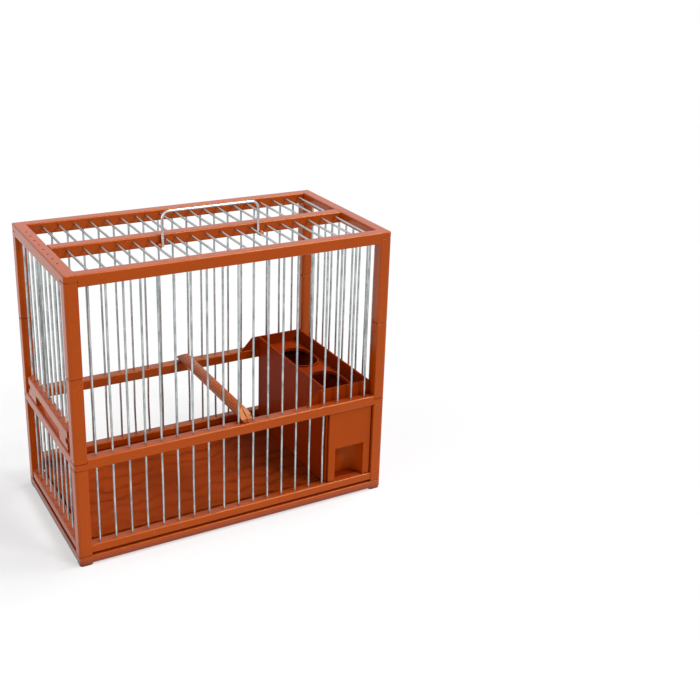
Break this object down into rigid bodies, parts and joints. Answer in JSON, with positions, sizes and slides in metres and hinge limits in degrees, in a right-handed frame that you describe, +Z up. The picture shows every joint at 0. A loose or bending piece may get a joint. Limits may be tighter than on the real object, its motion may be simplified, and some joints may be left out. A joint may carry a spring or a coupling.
{
  "type": "canary breeding cage",
  "caption": "Box-shaped plastic cage closed by steel wires, with a pull-out feeder drawer, a lifting side door, a litter tray, a perch and a folding bail.",
  "frame": {"origin": "on the ground, under the middle of the cage", "axes": "+X to the right along the front, +Y from the front to the rear, +Z up"},
  "size_m": [0.308, 0.166, 0.293],
  "materials": {
    "frame_plastic": "satin",
    "feeder_plastic": "satin",
    "drawer_plastic": "satin",
    "door_plastic": "satin",
    "tray_plastic": "satin",
    "perch_plastic": "satin",
    "galvanised_wire": "galvanised, dull",
    "zinc_wire": "zinc plated, bright"
  },
  "bodies": {
    "cage": {"base_frame": "frame_plastic", "front_bottom_rail": "frame_plastic", "rear_bottom_rail": "frame_plastic", "left_bottom_rail": "frame_plastic", "right_bottom_rail": "frame_plastic", "lower_post_front_left": "frame_plastic", "lower_post_front_right": "frame_plastic", "lower_post_rear_left": "frame_plastic", "lower_post_rear_right": "frame_plastic", "middle_corner_front_left": "frame_plastic", "middle_corner_front_right": "frame_plastic", "middle_corner_rear_left": "frame_plastic", "middle_corner_rear_right": "frame_plastic", "front_middle_rail": "frame_plastic", "rear_middle_rail": "frame_plastic", "left_middle_rail": "frame_plastic", "right_middle_rail": "frame_plastic", "middle_post_front_left": "frame_plastic", "middle_post_front_right": "frame_plastic", "middle_post_rear_left": "frame_plastic", "middle_post_rear_right": "frame_plastic", "upper_post_front_left": "frame_plastic", "upper_post_front_right": "frame_plastic", "upper_post_rear_left": "frame_plastic", "upper_post_rear_right": "frame_plastic", "top_corner_front_left": "frame_plastic", "top_corner_front_right": "frame_plastic", "top_corner_rear_left": "frame_plastic", "top_corner_rear_right": "frame_plastic", "front_top_rail": "frame_plastic", "rear_top_rail": "frame_plastic", "left_top_rail": "frame_plastic", "right_top_rail": "frame_plastic", "roof_bar": "frame_plastic", "front_long_wires": "galvanised_wire", "front_short_wires": "galvanised_wire", "rear_wires": "galvanised_wire", "right_wires": "galvanised_wire", "left_lower_wires": "galvanised_wire", "door_guide_wire_front": "galvanised_wire", "door_guide_wire_rear": "galvanised_wire", "roof_wires": "galvanised_wire", "feeder_housing": "feeder_plastic", "bail_lug_left": "frame_plastic", "bail_lug_right": "frame_plastic"},
    "side_door": {"door_bar": "door_plastic", "door_wires": "galvanised_wire"},
    "feeder_drawer": {"feeder_drawer": "drawer_plastic"},
    "litter_tray": {"litter_tray": "tray_plastic"},
    "perch": {"perch": "perch_plastic"},
    "carrying_bail": {"carrying_bail": "zinc_wire"}
  },
  "joints": [
    {"name": "door_lift", "type": "slide", "parent": "cage", "child": "side_door", "axis": [0, 0, 1], "range_m": [0, 0.13]},
    {"name": "drawer_pull", "type": "slide", "parent": "cage", "child": "feeder_drawer", "axis": [0, -1, 0], "range_m": [0, 0.14]},
    {"name": "tray_pull", "type": "slide", "parent": "cage", "child": "litter_tray", "axis": [0, 1, 0], "range_m": [0, 0.14]},
    {"name": "perch_lift", "type": "slide", "parent": "cage", "child": "perch", "axis": [0, 0, 1], "range_m": [0, 0.13]},
    {"name": "bail_fold", "type": "hinge", "parent": "cage", "child": "carrying_bail", "pos_m": [0, -0.0085, 0.26], "axis": [1, 0, 0], "range_deg": [0, 72]}
  ]
}
